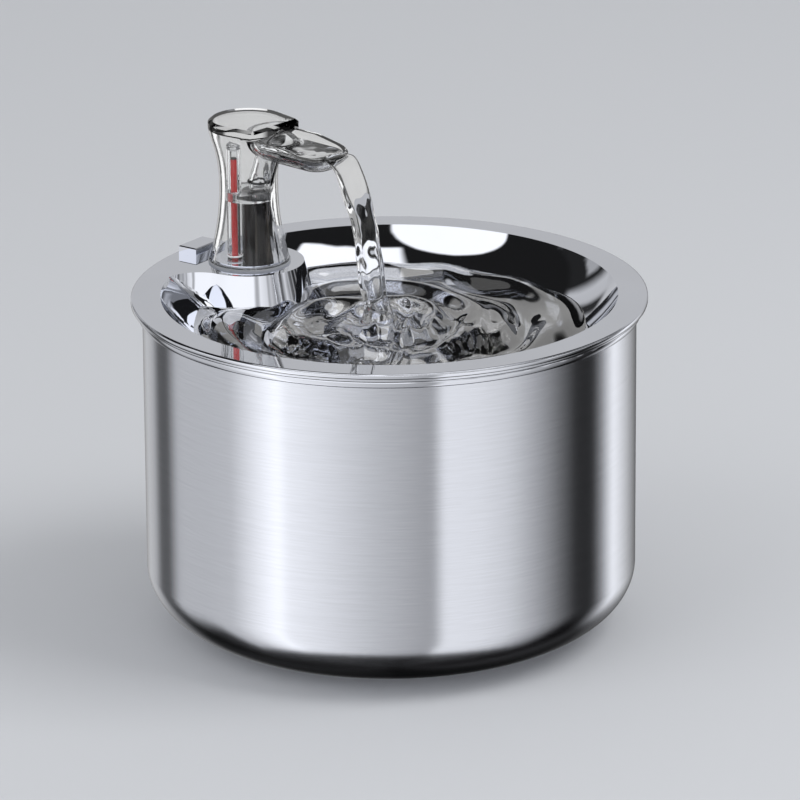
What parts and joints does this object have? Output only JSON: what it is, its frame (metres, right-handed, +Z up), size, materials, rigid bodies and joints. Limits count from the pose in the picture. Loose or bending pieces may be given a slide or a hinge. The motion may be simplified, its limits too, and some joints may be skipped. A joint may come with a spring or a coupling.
{
  "type": "pet water fountain",
  "caption": "Round steel water fountain for a pet: a brushed tank, a polished drinking dish on its rim, a clear tap with a float gauge, and a pump in a filter box.",
  "frame": {"origin": "on the floor under the middle of the round tank", "axes": "+Z up; the tap stands over +Y and its spout points towards -Y"},
  "size_m": [0.2, 0.2, 0.1926],
  "materials": {
    "brushed_steel": "stainless steel sheet, brushed round the wall",
    "polished_steel": "stainless steel sheet, polished",
    "clear_plastic": "clear moulded plastic, glossy",
    "black_gloss_plastic": "glossy",
    "clear_silicone": "milky, satin",
    "grey_pipe_plastic": "satin",
    "red_plastic": "satin",
    "white_foam": "closed-cell foam",
    "box_plastic": "moulded, satin",
    "black_rubber": "matte",
    "open_foam": "open-cell foam",
    "carbon_fleece": "fleece over carbon grains",
    "pump_plastic": "moulded, satin",
    "white_plastic": "moulded",
    "ceramic": "ground ceramic",
    "ferrite": "moulded ferrite"
  },
  "bodies": {
    "base": {"tank": "brushed_steel", "rubber_foot_1": "black_rubber", "rubber_foot_2": "black_rubber", "rubber_foot_3": "black_rubber", "rubber_foot_4": "black_rubber", "filter_box": "box_plastic", "foam_prefilter": "open_foam", "suction_cup_1": "black_rubber", "suction_cup_2": "black_rubber", "suction_cup_3": "black_rubber", "suction_cup_4": "black_rubber", "pump_volute": "pump_plastic", "pump_housing": "pump_plastic", "front_bush": "white_plastic", "rear_bush": "white_plastic", "rotor_shaft": "ceramic", "inlet_grille": "pump_plastic", "cable_gland": "pump_plastic"},
    "dish": {"tray": "polished_steel", "cord_outlet_cover": "polished_steel"},
    "tap": {"tap_shell": "clear_plastic", "spout_trough": "clear_plastic", "tap_cap": "clear_plastic", "foot_gasket": "clear_silicone", "foot_plate": "polished_steel", "riser_core": "black_gloss_plastic", "waist_seal": "clear_silicone", "level_tube": "clear_plastic", "level_tube_plug": "black_gloss_plastic", "riser_pipe": "grey_pipe_plastic", "outlet_sleeve": "clear_silicone"},
    "gauge": {"float_rod": "red_plastic", "float_body": "white_foam"},
    "lid": {"filter_box_lid": "box_plastic"},
    "cartridge": {"cartridge_frame": "box_plastic", "carbon_pad": "carbon_fleece"},
    "rotor": {"impeller": "white_plastic", "rotor_magnet": "ferrite"},
    "gate": {"flow_gate": "pump_plastic"}
  },
  "joints": [
    {"name": "tray_lift", "type": "slide", "parent": "base", "child": "dish", "axis": [0, 0, 1], "range_m": [0, 0.1]},
    {"name": "tap_lift", "type": "slide", "parent": "dish", "child": "tap", "axis": [0, 0, 1], "range_m": [0, 0.1]},
    {"name": "float_travel", "type": "slide", "parent": "tap", "child": "gauge", "axis": [0, 0, 1], "range_m": [-0.04, 0.002]},
    {"name": "lid_lift", "type": "slide", "parent": "base", "child": "lid", "axis": [0, 0, 1], "range_m": [0, 0.012]},
    {"name": "cartridge_lift", "type": "slide", "parent": "lid", "child": "cartridge", "axis": [0, 0, 1], "range_m": [0, 0.04]},
    {"name": "rotor_spin", "type": "hinge", "parent": "base", "child": "rotor", "pos_m": [-0.00399, 0.06714, 0.0229], "axis": [0, 1, 0], "continuous": true},
    {"name": "gate_slide", "type": "slide", "parent": "base", "child": "gate", "axis": [1, 0, 0], "range_m": [0, 0.006]}
  ]
}
